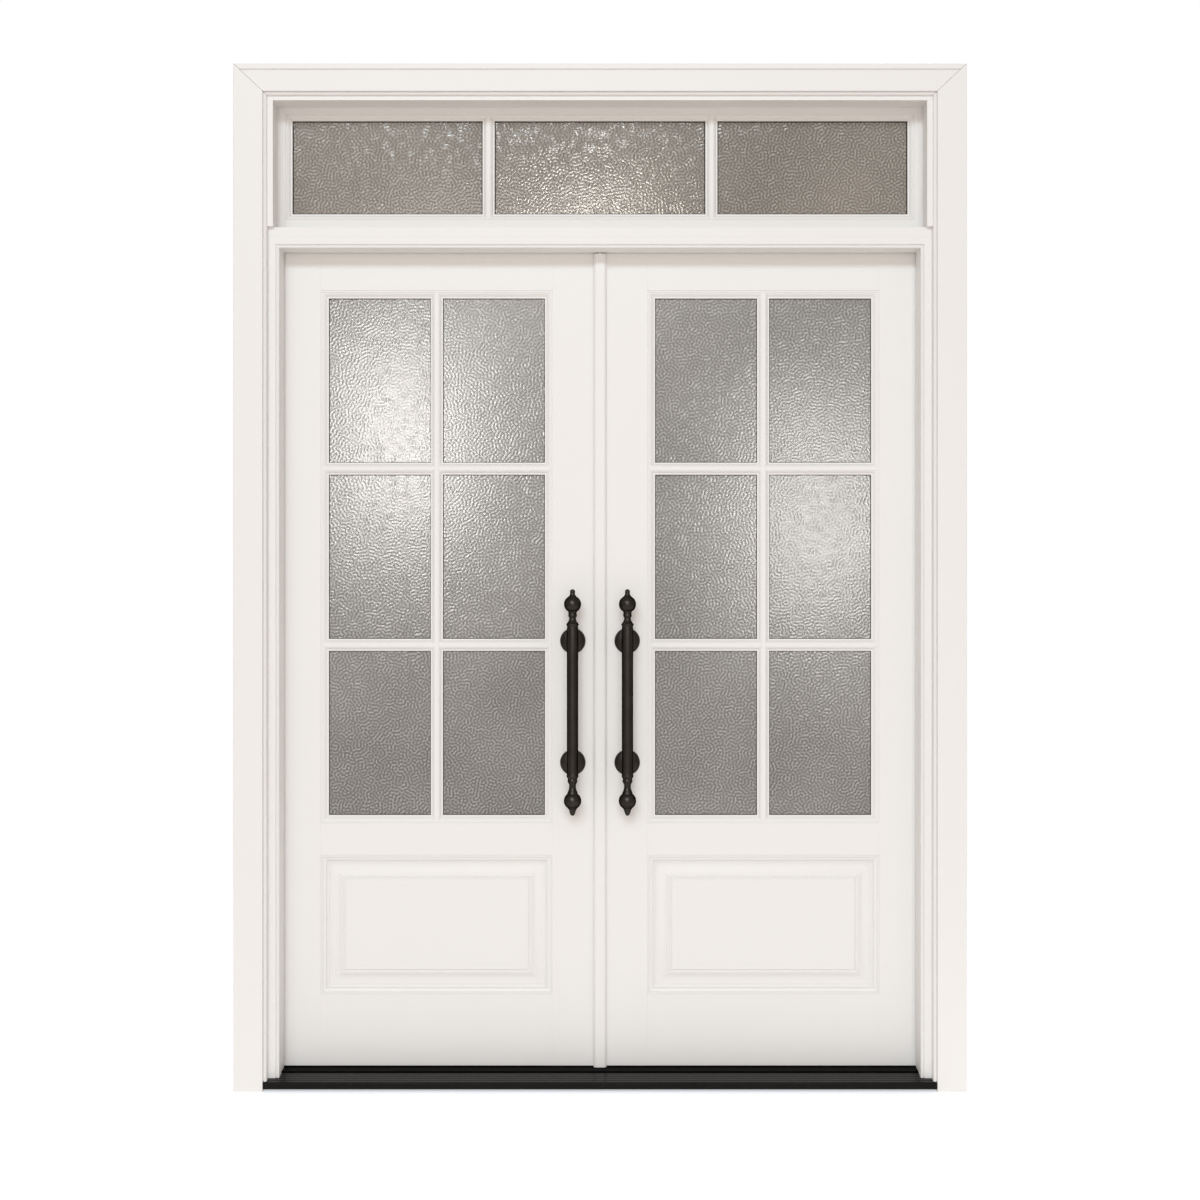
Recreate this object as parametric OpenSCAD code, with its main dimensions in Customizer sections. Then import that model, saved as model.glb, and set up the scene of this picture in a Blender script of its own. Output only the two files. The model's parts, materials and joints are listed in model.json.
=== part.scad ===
// A pair of inward opening french doors with a three-light transom, in their frame.
// X runs along the wall, Y runs inward through the wall, Z is up. The origin is at the middle of
// the doorway, on the wall's outer face (the jambs' front edges), at the underside of the sill.
// Everything left of the middle is modelled once and mirrored for the right.

/* [Doorway] */
// Half the width between the jambs
jamb_half = 800.5; // [600:0.5:950]
// Underside of the transom bar, over the leaves
rabbet_top = 2067.5; // [1950:0.5:2300]
// Height of the transom bar's front face
bar_h = 34.7; // [30:0.1:60]
// Underside of the head jamb, over the transom sash
head_z = 2412; // [2380:1:2700]
// Depth of the jambs through the wall
jamb_d = 116.5; // [110:0.5:140]
// Thickness of the jamb boards
jamb_t = 31.5; // [25:0.5:40]

/* [Leaves] */
// Thickness of a leaf
leaf_t = 44.5; // [40:0.5:50]
// Height of a leaf
leaf_h = 2032; // [1950:1:2200]
// Clearance at the hinge side, the head and the meeting line
leaf_gap = 3; // [2:0.5:4]
// Width of a hinge stile, without its moulded edge
hinge_stile_w = 103.5; // [80:0.5:120]
// Width of a meeting stile, without its moulded edge
meeting_stile_w = 116.5; // [100:0.5:130]
// Height of the top rail
top_rail_h = 105.5; // [80:0.5:120]
// Height of the lock rail
lock_rail_h = 79.5; // [70:0.5:110]
// Height of the bottom rail
bottom_rail_h = 177; // [140:1:220]
// Height of the panel's opening between the lock rail and the bottom rail
panel_h = 346; // [250:1:420]
// Columns and rows of panes in a leaf
pane_columns = 2; // [2:1:2]
pane_rows = 3; // [2:1:4]

/* [Mouldings] */
// Width of the moulded edge round the panes
lite_edge = 19; // [16:0.5:24]
// Width of the moulded edge round the panel
panel_edge = 24; // [20:0.5:28]
// Width of a glazing bar
bar_w = 30; // [28:0.5:36]
// Depth of the glass behind a member's face
glass_d = 14; // [12:0.5:16]
// Thickness of the glass
glass_t = 6; // [4:0.5:8]

/* [Casing] */
// Width of a side casing
casing_w = 81; // [70:1:110]
// Height of the head casing
casing_head_h = 76; // [66:1:100]
// Thickness of the casing
casing_t = 28; // [26:1:36]
// How far the side casings run below the sill
casing_drop = 6; // [0:1:12]

/* [Pulls] */
// Distance of a pull from the meeting line
pull_x = 67.5; // [60:0.5:80]
// Height of the middle of a pull
pull_z = 937; // [850:1:1000]
// Distance between a pull's posts
post_span = 302; // [250:1:350]
// Radius of a pull's grip
grip_r = 14; // [12:0.5:16]
// Distance of the grip's axis from the leaf's face
grip_out = 52; // [45:1:60]

/* [Hinges and bolts] */
// Height of a hinge
hinge_h = 102; // [80:1:110]
// Radius of a hinge's barrel
barrel_r = 6.5; // [6:0.1:6.8]
// Radius of a hinge pin
pin_r = 3; // [2.5:0.1:3.5]
// Running clearance round a hinge pin
pin_play = 0.05; // [0.02:0.01:0.1]
// Radius of a flush bolt
bolt_r = 5; // [4:0.5:5.5]

/* [Hidden] */
$fn = 64;

paint = "#eceae6";
black = "#1d1c1b";
bronze = "#2b2826";
glass_tint = "#a9aaa6";
rubber = "#4a4a48";
steel = "#b3b4b6";
composite = "#6d675f";

// Leaf: its face, its edges and the outer lines of its two openings
leaf_y = jamb_d - leaf_t;
leaf_x0 = -(jamb_half - leaf_gap);
leaf_x1 = -leaf_gap / 2;
leaf_z1 = rabbet_top - leaf_gap;
leaf_z0 = leaf_z1 - leaf_h;
field_x0 = leaf_x0 + hinge_stile_w;
field_x1 = leaf_x1 - meeting_stile_w;
panel_z0 = leaf_z0 + bottom_rail_h;
panel_z1 = panel_z0 + panel_h;
lite_z0 = panel_z1 + lock_rail_h;
lite_z1 = leaf_z1 - top_rail_h;
tenon_t = 12;
tenon_l = 60;

// Moulded edges as outlines of [distance from the outer line, depth behind the face]
lip = 10; // the part of the moulding that laps the glass
back_d = glass_d + glass_t;
fillet = 3.4; // the flat along the glass
function ovolo(w) = [for (i = [0:5]) let (a = i / 5) [w * a, 1.8 + 6.4 * (1 - cos(90 * a))]];
function ovolo_start(w) = 0.2 * w + 1.4;
function lite_profile(w, t) = let (start = ovolo_start(w)) concat(
    [[0, 0], [0.5, 2], [2, 2], [2.5, 0.7], [start, 0.7]],
    [for (p = ovolo(w - fillet - start)) [start + p[0], p[1]]],
    [[w, 8.2], [w, glass_d], [w - lip, glass_d], [w - lip, t], [0, t]]);
panel_front = [
    [0, 0], [0.5, 2.2], [2, 2.2], [2.6, 0.7], [5, 0.7], [5.5, 4.3], [7.3, 4.3], [13.4, 6.4],
    [13.9, 10.4], [16.2, 10.4], [16.6, 8.4], [20.4, 9.8], [20.9, 12], [panel_edge, 12]];
tongue_y0 = 13;
tongue_in = 12; // how far the panel reaches into its groove
function panel_profile(t) = concat(
    panel_front,
    [[panel_edge, tongue_y0], [tongue_in, tongue_y0], [tongue_in, t - tongue_y0],
     [panel_edge, t - tongue_y0]],
    [for (i = [len(panel_front) - 1:-1:0]) [panel_front[i][0], t - panel_front[i][1]]]);

// Glazing bar in section as [distance from its middle, depth]: the same ovolo on both sides
web = bar_w / 2 - lip;
bar_side = concat(
    [[web, 0.7]], [for (p = ovolo(lip - fillet)) [web + p[0], p[1]]],
    [[bar_w / 2, 8.2], [bar_w / 2, glass_d], [web, glass_d]]);
function bar_profile(t) = concat(
    bar_side, [[web, t - 1], [-web, t - 1]],
    [for (i = [len(bar_side) - 1:-1:0]) [-bar_side[i][0], bar_side[i][1]]]);

// Glazing bead in section, behind the glass
function bead_profile(t) = [[0, back_d], [lip, back_d], [lip, t - 9], [4, t - 1], [0, t - 1]];

// --- Helpers -----------------------------------------------------------------------------

// An outline of [x, z] points made solid from y0 to y1
module plate_xz(points, y0, y1) {
    translate([0, y1, 0]) rotate([90, 0, 0]) linear_extrude(y1 - y0) polygon(points);
}

// An outline of [y, z] points made solid from x0 to x1
module bar_x(points, x0, x1) {
    translate([x0, 0, 0]) rotate([90, 0, 90]) linear_extrude(x1 - x0) polygon(points);
}

module box(x0, x1, y0, y1, z0, z1) {
    translate([x0, y0, z0]) cube([x1 - x0, y1 - y0, z1 - z0]);
}

// A moulded edge up the side x of an opening from z0 to z1, mitred at both ends.
// way is 1 where it grows towards +X and -1 where it grows towards -X.
module edge_up(profile, width, x, way, z0, z1, y) {
    intersection() {
        translate([x, y, z0 - 1]) linear_extrude(z1 - z0 + 2)
            polygon([for (p = profile) [way * p[0], p[1]]]);
        plate_xz([[x, z0], [x + way * width, z0 + width], [x + way * width, z1 - width],
                  [x, z1]], y - 1, y + 200);
    }
}

// The same along the bottom or top of an opening at height z
module edge_across(profile, width, z, way, x0, x1, y) {
    intersection() {
        bar_x([for (p = profile) [y + p[1], z + way * p[0]]], x0 - 1, x1 + 1);
        plate_xz([[x0, z], [x0 + width, z + way * width], [x1 - width, z + way * width],
                  [x1, z]], y - 1, y + 200);
    }
}

// A mitred ring just inside the rectangle
module edge_ring(profile, width, x0, x1, z0, z1, y) {
    edge_up(profile, width, x0, 1, z0, z1, y);
    edge_up(profile, width, x1, -1, z0, z1, y);
    edge_across(profile, width, z0, 1, x0, x1, y);
    edge_across(profile, width, z1, -1, x0, x1, y);
}

// The clear glass of each cell of a lite field, as [x0, x1, z0, z1]
function cells(x0, x1, z0, z1, columns, rows) = let (
    w = (x1 - x0 - 2 * lite_edge - (columns - 1) * bar_w) / columns,
    h = (z1 - z0 - 2 * lite_edge - (rows - 1) * bar_w) / rows)
    [for (c = [0:columns - 1], r = [0:rows - 1])
        [x0 + lite_edge + c * (w + bar_w), x0 + lite_edge + c * (w + bar_w) + w,
         z0 + lite_edge + r * (h + bar_w), z0 + lite_edge + r * (h + bar_w) + h]];

module pane(c, y) {
    lap = lip - 2;
    box(c[0] - lap, c[1] + lap, y + glass_d, y + back_d, c[2] - lap, c[3] + lap);
}

module beads(c, t, y) {
    edge_ring(bead_profile(t), lip, c[0] - lip, c[1] + lip, c[2] - lip, c[3] + lip, y);
}

module glazing_bar_up(x, z0, z1, t, y) {
    translate([x, y, z0]) linear_extrude(z1 - z0) polygon(bar_profile(t));
}

module glazing_bar_across(z, x0, x1, t, y) {
    bar_x([for (p = bar_profile(t)) [y + p[1], z + p[0]]], x0, x1);
}

// --- Frame -------------------------------------------------------------------------------

stop_reveal = 16; // how far a stop stands in from the jamb
stop_d = leaf_y - 4; // the stops' depth, which leaves 4 mm for the weatherstrip
stop_in = jamb_half - stop_reveal;
stop_top = rabbet_top - stop_reveal;
flange_t = 3;
bead_w = 7;
groove_w = 2.4;
groove_d = 3.2;
face_out = jamb_half + 11; // outer edge of the stops' flange and inner edge of the casing
casing_in = face_out;
casing_out = casing_in + casing_w;
casing_z = head_z + 8;
casing_top = casing_z + casing_head_h;
band = 8.7;

// Sill: the nose, the sloping deck and the flat under the leaves
nose_y = -casing_t;
nose_h = 17;
deck_slope = 0.154;
deck_end_y = 30;
deck_end_z = nose_h + deck_slope * (deck_end_y - nose_y);
cap_top = leaf_z0 - leaf_gap;
deck_t = 3;
function deck_z(y) = nose_h + deck_slope * (y - nose_y);
sill_half = casing_in + band;
cap_base = 14;
rib_h = 0.8;
rib_w = 2.4;
deck_top = concat([[nose_y, nose_h - 1.5], [nose_y + 1.5, nose_h]],
    [for (y = [-17, -6, 5, 16]) each [[y, deck_z(y)], [y + rib_w / 3, deck_z(y) + rib_h],
        [y + 2 * rib_w / 3, deck_z(y) + rib_h], [y + rib_w, deck_z(y + rib_w)]]],
    [[deck_end_y, deck_end_z]]);

// Casing in section: [distance from the inner edge, distance in front of the wall]. A rounded
// band runs along its inner edge, parted from the flat by a groove. s scales the width.
band_y = 17; // the inner edge's depth below the round
function casing_profile(s) = concat(
    [[0, 0], [0, band_y]],
    [for (a = [15:15:90]) [s * 3.5 * (1 - cos(a)), band_y + 6.5 * sin(a)]],
    [[s * (band - 2.2), band_y + 8], [s * (band - 1.3), band_y + 4],
     [s * (band + 0.4), band_y + 4], [s * (band + 1), casing_t - 0.8], [s * (band + 1.8), casing_t],
     [s * casing_w - 1, casing_t], [s * casing_w, casing_t - 1], [s * casing_w, 0]]);

module casing_leg() {
    z0 = -casing_drop;
    color(paint) difference() {
        intersection() {
            translate([0, 0, z0]) linear_extrude(casing_top - z0)
                polygon([for (p = casing_profile(1)) [-casing_in - p[0], -p[1]]]);
            plate_xz([[-casing_in, z0], [-casing_in, casing_z], [-casing_out, casing_top],
                      [-casing_out, z0]], -casing_t - 1, 1);
        }
        sill_space(sill_half);
    }
}
module casing_left() { casing_leg(); }
module casing_right() { mirror([1, 0, 0]) casing_leg(); }

mitre_gap = 0.7;
module casing_head() {
    s = casing_head_h / casing_w;
    groove_z = casing_top - 14.4;
    color(paint) difference() {
        intersection() {
            bar_x([for (p = casing_profile(s)) [-p[1], casing_z + p[0]]], -casing_out, casing_out);
            plate_xz([[mitre_gap - casing_in, casing_z], [casing_in - mitre_gap, casing_z],
                      [casing_out - mitre_gap, casing_top],
                      [mitre_gap - casing_out, casing_top]], -casing_t - 1, 1);
        }
        bar_x([[-casing_t - 1, groove_z - 1.9], [-casing_t, groove_z - 1.9],
               [-casing_t + 3.8, groove_z - 0.4], [-casing_t + 3.8, groove_z + 1.3],
               [-casing_t, groove_z + 1.9], [-casing_t - 1, groove_z + 1.9]],
            -casing_out, casing_out);
    }
}

bar_top = rabbet_top + bar_h;
nosing_t = 16; // above the transom bar the jamb comes forward, nearly level with the casing
nosing_in = 2.5;
jamb_x = jamb_half + jamb_t;
screw_r = 2.75;
screw_ys = [24, 94];
screw_zs = [320, 1880];
module jamb_leg() {
    color(paint) difference() {
        union() {
            box(-jamb_x, -jamb_half, 0, jamb_d, 0, head_z);
            box(-face_out, -jamb_half + nosing_in, -nosing_t, 0, bar_top, head_z - nosing_in);
        }
        sill_space(jamb_x + 1);
        for (y = screw_ys, z = screw_zs)
            translate([-jamb_x - 1, y, z]) rotate([0, 90, 0]) cylinder(r = screw_r, h = jamb_t + 2);
        for (z = hinge_zs) mortise(-jamb_half - plate_t, z);
    }
}
module jamb_left() { jamb_leg(); }
module jamb_right() { mirror([1, 0, 0]) jamb_leg(); }
module jamb_head() {
    color(paint) {
        box(-jamb_x, jamb_x, 0, jamb_d, head_z, head_z + jamb_t);
        box(-face_out, face_out, -nosing_t, 0, head_z - nosing_in, casing_z);
    }
}

stop_face_top = stop_top + face_out - stop_in; // top edge of the head stop's flange
module transom_bar() {
    color(paint) difference() {
        union() {
            box(-jamb_half, jamb_half, 0, jamb_d, rabbet_top, bar_top);
            box(-face_out, face_out, -flange_t, 0, stop_face_top, bar_top);
        }
        translate([bolt_x, bolt_y, rabbet_top - 1]) cylinder(r = bolt_r + 1, h = bolt_throw + 5);
    }
}

// Stop in section: [distance from the inner edge, y]; flange, groove, bead and reveal
stop_profile = concat(
    [[stop_reveal, stop_d], [stop_reveal, 0], [face_out - stop_in, 0],
     [face_out - stop_in, -flange_t], [bead_w + groove_w, -flange_t],
     [bead_w + groove_w - 0.4, -flange_t + groove_d], [bead_w, -flange_t + groove_d]],
    [for (i = [0:8]) let (a = 22.5 * i) [bead_w / 2 + bead_w / 2 * cos(a),
        -flange_t + 0.6 + bead_w / 2 * (1 - sin(a))]],
    [[0, stop_d]]);
module door_stop_leg() {
    color(paint) intersection() {
        difference() {
            linear_extrude(rabbet_top + bar_h)
                polygon([for (p = stop_profile) [-stop_in - p[0], p[1]]]);
            sill_space(jamb_x);
        }
        plate_xz([[-stop_in, 0], [-stop_in, stop_top], [-face_out, stop_face_top],
                  [-face_out, 0]], -flange_t - 1, stop_d + 1);
    }
}
module door_stop_left() { door_stop_leg(); }
module door_stop_right() { mirror([1, 0, 0]) door_stop_leg(); }
module door_stop_head() {
    color(paint) intersection() {
        bar_x([for (p = stop_profile) [p[1], stop_top + p[0]]], -face_out, face_out);
        plate_xz([[-stop_in, stop_top], [stop_in, stop_top], [face_out, stop_face_top],
                  [-face_out, stop_face_top]], -flange_t - 1, stop_d + 1);
    }
}

strip_w = 9;
module weatherstrips() {
    y0 = stop_d;
    y1 = leaf_y - 0.3;
    x = jamb_half - 1;
    z = rabbet_top - 1;
    color(rubber) {
        for (side = [-1, 1])
            box(min(side * x, side * (x - strip_w)), max(side * x, side * (x - strip_w)), y0, y1,
                cap_top, z - strip_w);
        box(-x, x, y0, y1, z - strip_w, z);
    }
}

// The sill's outline from below its underside to its top, for cutting what stands on it
module sill_space(half) {
    bar_x(concat([[nose_y, -casing_drop - 1]], deck_top,
        [[deck_end_y, cap_top], [jamb_d + 1, cap_top], [jamb_d + 1, -casing_drop - 1]]),
        -half, half);
}
module sill_deck() {
    color(bronze) bar_x(concat([[nose_y, 0]], deck_top, [[deck_end_y, deck_end_z - deck_t],
        [nose_y + deck_t, nose_h - deck_t + deck_slope * deck_t], [nose_y + deck_t, 0]]),
        -sill_half, sill_half);
}
module sill_core() {
    color(composite) bar_x([[nose_y + deck_t, 0],
        [nose_y + deck_t, nose_h - deck_t + deck_slope * deck_t],
        [deck_end_y, deck_end_z - deck_t], [deck_end_y, cap_base], [jamb_d, cap_base],
        [jamb_d, 0]], -sill_half, sill_half);
}
module threshold_cap() {
    edge = 2;
    color(bronze) difference() {
        bar_x([[deck_end_y, cap_base], [jamb_d, cap_base], [jamb_d, cap_top],
               [deck_end_y + edge, cap_top], [deck_end_y, cap_top - edge]],
            -sill_half, sill_half);
        translate([bolt_x, bolt_y, cap_base - 1]) cylinder(r = bolt_r + 1, h = 60);
    }
}

// --- Transom sash ------------------------------------------------------------------------

sash_y = 65;
sash_t = 40;
sash_edge = 16;
sash_side = 20;
sash_top = 16;
sash_bottom = 30;
sash_x = jamb_half;
light_x = sash_x - sash_side;
light_z0 = bar_top + sash_bottom;
light_z1 = head_z - sash_top;
sash_bar_x = 277;
light_z = [light_z0 + sash_edge, light_z1 - sash_edge];
sash_cells = [
    [-light_x + sash_edge, -sash_bar_x - bar_w / 2, light_z[0], light_z[1]],
    [-sash_bar_x + bar_w / 2, sash_bar_x - bar_w / 2, light_z[0], light_z[1]],
    [sash_bar_x + bar_w / 2, light_x - sash_edge, light_z[0], light_z[1]]];
module transom_stile() {
    color(paint) {
        box(-sash_x, -light_x, sash_y, sash_y + sash_t, bar_top, head_z);
        edge_up(lite_profile(sash_edge, sash_t), sash_edge, -light_x, 1, light_z0, light_z1, sash_y);
    }
}
module transom_stile_left() { transom_stile(); }
module transom_stile_right() { mirror([1, 0, 0]) transom_stile(); }
module transom_rail_top() {
    color(paint) {
        box(-light_x, light_x, sash_y, sash_y + sash_t, light_z1, head_z);
        edge_across(lite_profile(sash_edge, sash_t), sash_edge, light_z1, -1, -light_x, light_x, sash_y);
    }
}
module transom_rail_bottom() {
    color(paint) {
        box(-light_x, light_x, sash_y, sash_y + sash_t, bar_top, light_z0);
        edge_across(lite_profile(sash_edge, sash_t), sash_edge, light_z0, 1, -light_x, light_x, sash_y);
    }
}
sash_bar_in = ovolo_start(sash_edge) - 0.7;
module transom_bars() {
    color(paint) difference() {
        for (side = [-1, 1])
            glazing_bar_up(side * sash_bar_x, light_z0 + sash_bar_in, light_z1 - sash_bar_in,
                sash_t, sash_y);
        transom_rail_top();
        transom_rail_bottom();
    }
}
module transom_panes() { color(glass_tint) for (c = sash_cells) pane(c, sash_y); }
module transom_beads() { color(paint) for (c = sash_cells) beads(c, sash_t, sash_y); }

// --- Hinges ------------------------------------------------------------------------------

hinge_x = -jamb_half + leaf_gap / 2;
hinge_y = jamb_d + 7;
hinge_zs = [leaf_z0 + 280, leaf_z0 + leaf_h / 2, leaf_z1 - 180];
plate_t = 2.5;
plate_d = 32;
knuckles = 5;
knuckle_h = hinge_h / knuckles;
knuckle_play = 0.3;

module mortise(x, z) {
    box(x, x + plate_t, jamb_d - plate_d, jamb_d + 1, z - hinge_h / 2, z + hinge_h / 2);
}
// Barrel pieces first, first + 2, ... of each hinge with their plate
module hinge_leaves(x, first, hole_r) {
    for (z = hinge_zs) {
        z0 = z - hinge_h / 2;
        difference() {
            union() {
                box(x, x + plate_t, jamb_d - plate_d, jamb_d, z0, z0 + hinge_h);
                for (k = [first:2:knuckles - 1]) {
                    k0 = z0 + k * knuckle_h + knuckle_play / 2;
                    box(x, x + plate_t, jamb_d, hinge_y, k0, k0 + knuckle_h - knuckle_play);
                    translate([hinge_x, hinge_y, k0])
                        cylinder(r = barrel_r, h = knuckle_h - knuckle_play);
                }
            }
            translate([hinge_x, hinge_y, z0 - 1]) cylinder(r = hole_r, h = hinge_h + 2);
        }
    }
}
module jamb_hinges() { color(steel) hinge_leaves(-jamb_half - plate_t, 0, pin_r); }
module left_jamb_hinges() { jamb_hinges(); }
module right_jamb_hinges() { mirror([1, 0, 0]) jamb_hinges(); }
module door_hinges() { color(steel) hinge_leaves(leaf_x0, 1, pin_r + pin_play); }
module left_door_hinges() { door_hinges(); }
module right_door_hinges() { mirror([1, 0, 0]) door_hinges(); }

pin_over = 2.5; // how far a pin's heads stand out above and below its hinge
head_r = 5.5;
module hinge_pins() {
    seat = knuckle_play / 2;
    rim = 1;
    color(steel) for (z = hinge_zs) translate([hinge_x, hinge_y, z - hinge_h / 2]) rotate_extrude()
        polygon([[0, -pin_over], [head_r - 1.5, -pin_over], [head_r, -rim], [head_r, seat],
                 [pin_r, seat], [pin_r, hinge_h - seat], [head_r, hinge_h - seat],
                 [head_r, hinge_h + rim], [head_r - 1.5, hinge_h + pin_over],
                 [0, hinge_h + pin_over]]);
}
module left_hinge_pins() { hinge_pins(); }
module right_hinge_pins() { mirror([1, 0, 0]) hinge_pins(); }

// --- Leaf --------------------------------------------------------------------------------

leaf_cells = cells(field_x0, field_x1, lite_z0, lite_z1, pane_columns, pane_rows);
bolt_y = leaf_y + leaf_t / 2;
bolt_x = leaf_gap / 2 + 14;
bolt_throw = 16;
pull_r = 4.5; // clearance hole for the pull's through bolts
post_zs = [pull_z - post_span / 2, pull_z + post_span / 2];

module stile_edges(x, way) {
    edge_up(lite_profile(lite_edge, leaf_t), lite_edge, x, way, lite_z0, lite_z1, leaf_y);
    edge_up(panel_profile(leaf_t), panel_edge, x, way, panel_z0, panel_z1, leaf_y);
}
module tenons() {
    for (z = [[leaf_z0 + 30, panel_z0 - 15], [panel_z1 + 12, lite_z0 - 12],
              [lite_z1 + 15, leaf_z1 - 20]])
        box(field_x0 - tenon_l, field_x1 + tenon_l, leaf_y + (leaf_t - tenon_t) / 2,
            leaf_y + (leaf_t + tenon_t) / 2, z[0], z[1]);
}
module hinge_stile() {
    color(paint) difference() {
        union() {
            box(leaf_x0, field_x0, leaf_y, leaf_y + leaf_t, leaf_z0, leaf_z1);
            stile_edges(field_x0, 1);
        }
        tenons();
        for (z = hinge_zs) mortise(leaf_x0, z);
    }
}
module meeting_stile() {
    difference() {
        union() {
            box(field_x1, leaf_x1, leaf_y, leaf_y + leaf_t, leaf_z0, leaf_z1);
            stile_edges(field_x1, -1);
        }
        tenons();
        for (z = post_zs) translate([-pull_x, leaf_y - 1, z]) rotate([-90, 0, 0])
            cylinder(r = pull_r, h = leaf_t + 2);
    }
}
module rail(z0, z1) {
    box(field_x0, field_x1, leaf_y, leaf_y + leaf_t, z0, z1);
    intersection() {
        tenons();
        box(leaf_x0, leaf_x1, leaf_y, leaf_y + leaf_t, z0, z1);
    }
}
module top_rail() {
    color(paint) {
        rail(lite_z1, leaf_z1);
        edge_across(lite_profile(lite_edge, leaf_t), lite_edge, lite_z1, -1, field_x0, field_x1, leaf_y);
    }
}
module lock_rail() {
    color(paint) {
        rail(panel_z1, lite_z0);
        edge_across(lite_profile(lite_edge, leaf_t), lite_edge, lite_z0, 1, field_x0, field_x1, leaf_y);
        edge_across(panel_profile(leaf_t), panel_edge, panel_z1, -1, field_x0, field_x1, leaf_y);
    }
}
module bottom_rail() {
    color(paint) {
        rail(leaf_z0, panel_z0);
        edge_across(panel_profile(leaf_t), panel_edge, panel_z0, 1, field_x0, field_x1, leaf_y);
    }
}

// Raised panel: a board with both faces worked down to its tongue, 0.2 mm clear of the groove
slope_w = 29.5;
slope_steps = 6;
field_d = 3.2;
slope_d = 4.2;
field_groove = [4, 7.4, 8]; // from the slope's end: to its bottom, its depth, to the field
module panel() {
    play = 0.2;
    inset = tongue_in + 1;
    tongue_w = panel_edge - inset;
    t = leaf_t;
    over = 1;
    low = tongue_y0 + play;
    top = over + tongue_w + slope_w;
    w = top + field_groove[2];
    cut = concat([[0, -1], [0, low]],
        [for (i = [0:slope_steps]) let (u = i / slope_steps)
            [over + tongue_w + slope_w * u, low - (low - slope_d) * pow(u, 2)]],
        [[top + field_groove[0], field_groove[1]], [w, field_d], [w, -1]]);
    x0 = field_x0 + inset - over;
    x1 = field_x1 - inset + over;
    z0 = panel_z0 + inset - over;
    z1 = panel_z1 - inset + over;
    color(paint) difference() {
        box(x0 + over, x1 - over, leaf_y + field_d, leaf_y + t - field_d, z0 + over, z1 - over);
        edge_ring(cut, w, x0, x1, z0, z1, leaf_y);
        translate([0, 2 * leaf_y + t, 0]) mirror([0, 1, 0])
            edge_ring(cut, w, x0, x1, z0, z1, leaf_y);
    }
}

bar_mid_x = (field_x0 + field_x1) / 2;
cell_h = leaf_cells[0][3] - leaf_cells[0][2];
bar_zs = [for (r = [1:pane_rows - 1]) leaf_cells[0][2] + r * (cell_h + bar_w) - bar_w / 2];
bar_in = ovolo_start(lite_edge) - 0.7; // a bar starts this far inside the opening's outer line
module leaf_bar_up() {
    glazing_bar_up(bar_mid_x, lite_z0 + bar_in, lite_z1 - bar_in, leaf_t, leaf_y);
}
module upright_bar() {
    color(paint) difference() {
        leaf_bar_up();
        top_rail();
        lock_rail();
    }
}
module cross_bars() {
    color(paint) difference() {
        for (z = bar_zs)
            glazing_bar_across(z, field_x0 + bar_in, field_x1 - bar_in, leaf_t, leaf_y);
        leaf_bar_up();
        stile_edges(field_x0, 1);
        stile_edges(field_x1, -1);
    }
}
module panes() { color(glass_tint) for (c = leaf_cells) pane(c, leaf_y); }
module leaf_beads() { color(paint) for (c = leaf_cells) beads(c, leaf_t, leaf_y); }

// --- Pull --------------------------------------------------------------------------------

// Half outlines of the two finials as [radius, distance from the bar's middle]: a collar, a
// neck with a ring, a ball and a small tip
grip_y = leaf_y - grip_out;
function ball(mid, r, from, to) = [for (i = [0:10]) let (a = from + (to - from) * i / 10)
    [r * cos(a), mid + r * sin(a)]];
top_finial = concat(
    [[grip_r, 185], [grip_r - 0.7, 187], [grip_r + 0.4, 190], [grip_r + 1.5, 193.2],
     [grip_r - 0.4, 196], [11.4, 199], [9.3, 203], [8.3, 207], [8.6, 210.5], [10.2, 212.6],
     [10.7, 215], [10.3, 217.5]],
    ball(242.7, 21.1, -59, 59),
    [[9.8, 262.5], [8.6, 265], [6.9, 267], [6.8, 271.5], [5.6, 274.6], [3.4, 276.8], [0, 277.6]]);
bottom_finial = concat(
    [[grip_r, 176], [grip_r + 0.5, 180], [grip_r - 0.1, 182.8], [11.2, 187.4], [12.3, 191],
     [12.2, 193], [10.4, 196.6], [8.7, 200.4], [8.3, 204.5], [8.6, 209.5], [10, 214.7],
     [12.1, 219.4], [12.4, 222]],
    ball(240.5, 21.5, -54, 59),
    [[10.6, 261], [9.4, 264], [7.6, 267], [6.3, 269.5], [5.6, 272], [3.6, 275], [0, 276.8]]);
module pull() {
    color(black) translate([-pull_x, grip_y, pull_z]) rotate_extrude()
        polygon(concat(top_finial,
            [for (i = [len(bottom_finial) - 1:-1:0]) [bottom_finial[i][0], -bottom_finial[i][1]]]));
}
// Each post is turned with its rose, and saddled to the bar
rose_r = 31.5;
post_r = 8;
rose_t = 2.5; // thickness of a rose at its rim
through_r = 4; // radius of a through bolt
through_in = 26; // how far a through bolt reaches into its post
module pull_posts() {
    color(black) difference() {
        for (z = post_zs) translate([-pull_x, leaf_y, z]) rotate([90, 0, 0]) rotate_extrude()
            polygon(concat([[0, 0], [rose_r, 0], [rose_r, rose_t]],
                [for (a = [15:15:90]) [rose_r - 1.5 - 15 * sin(a), rose_t + 7 * (1 - cos(a))]],
                [[post_r + 3, 11], [post_r, 15], [post_r, grip_out], [0, grip_out]]));
        translate([-pull_x, grip_y, pull_z - post_span])
            cylinder(r = grip_r, h = 2 * post_span);
        for (z = post_zs) translate([-pull_x, leaf_y - through_in, z]) rotate([-90, 0, 0])
            cylinder(r = through_r, h = through_in + 1);
    }
}
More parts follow.
